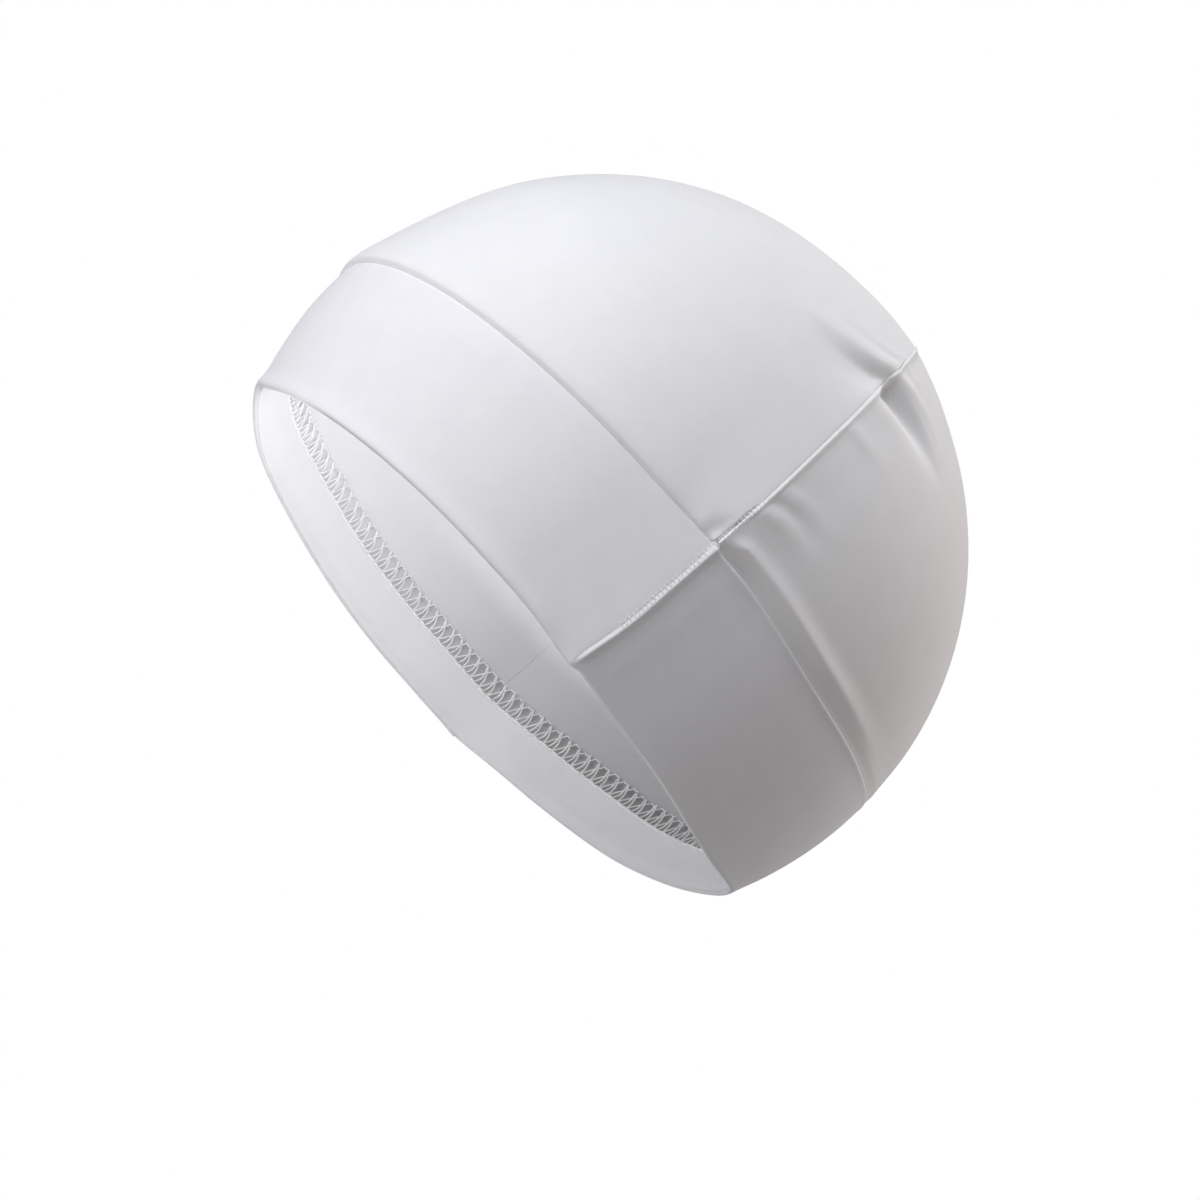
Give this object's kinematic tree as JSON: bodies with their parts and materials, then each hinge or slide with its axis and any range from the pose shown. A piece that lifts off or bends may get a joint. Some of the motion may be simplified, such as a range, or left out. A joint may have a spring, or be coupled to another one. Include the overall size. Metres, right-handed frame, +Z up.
{
  "type": "helmet liner",
  "caption": "Close skull cap of thin stretch knit with a domed crown, an ear-to-ear cross seam, a wide doubled band and a stitched inner facing, worn on the head under a helmet.",
  "frame": {"origin": "inside of the crown's top, where the cap rests on the head", "axes": "+X to the wearer's left, +Y from the forehead to the nape, +Z up"},
  "size_m": [0.1606, 0.1955, 0.1463],
  "materials": {
    "crown_knit": "matt fine knit with a faint sheen",
    "band_knit": "matt fine knit with a faint sheen",
    "facing_knit": "matt fine knit"
  },
  "bodies": {
    "root": {"front_crown_panel": "crown_knit", "back_crown_panel": "crown_knit", "front_band": "band_knit", "back_band": "band_knit", "inner_facing": "facing_knit"}
  },
  "joints": []
}
